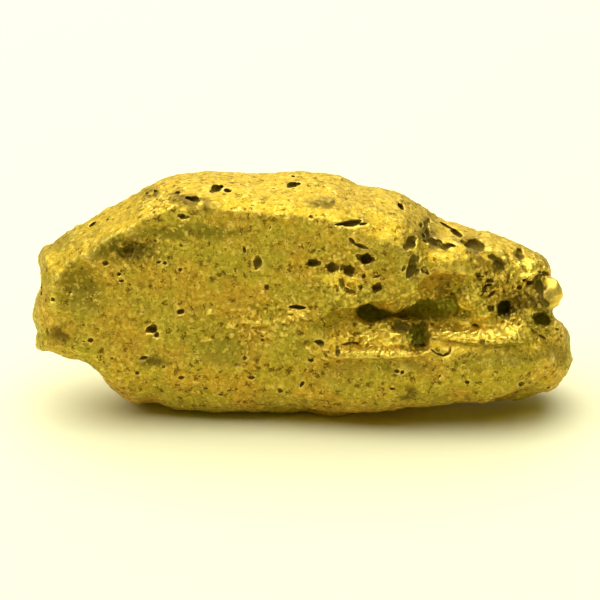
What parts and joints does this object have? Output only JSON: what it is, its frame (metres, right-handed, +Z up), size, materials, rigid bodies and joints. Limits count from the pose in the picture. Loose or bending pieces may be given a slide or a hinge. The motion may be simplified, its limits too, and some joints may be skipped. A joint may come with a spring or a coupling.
{
  "type": "gold nugget",
  "caption": "Water-worn native gold nugget: a long rounded lump with a flattened front, a hanging lobe over a cavity, a lower ledge and many small pits.",
  "frame": {"origin": "on the worn flat the lump lies on, under the middle of its outer box", "axes": "+X along the lump, from its rounded end to its pitted end; -Y out of its flattened front; +Z up"},
  "size_m": [0.025, 0.0094, 0.0109],
  "materials": {
    "gold": "soft yellow native gold, dulled by fine wear, with dark dirt in its pits"
  },
  "bodies": {
    "root": {"nugget": "gold"}
  },
  "joints": []
}
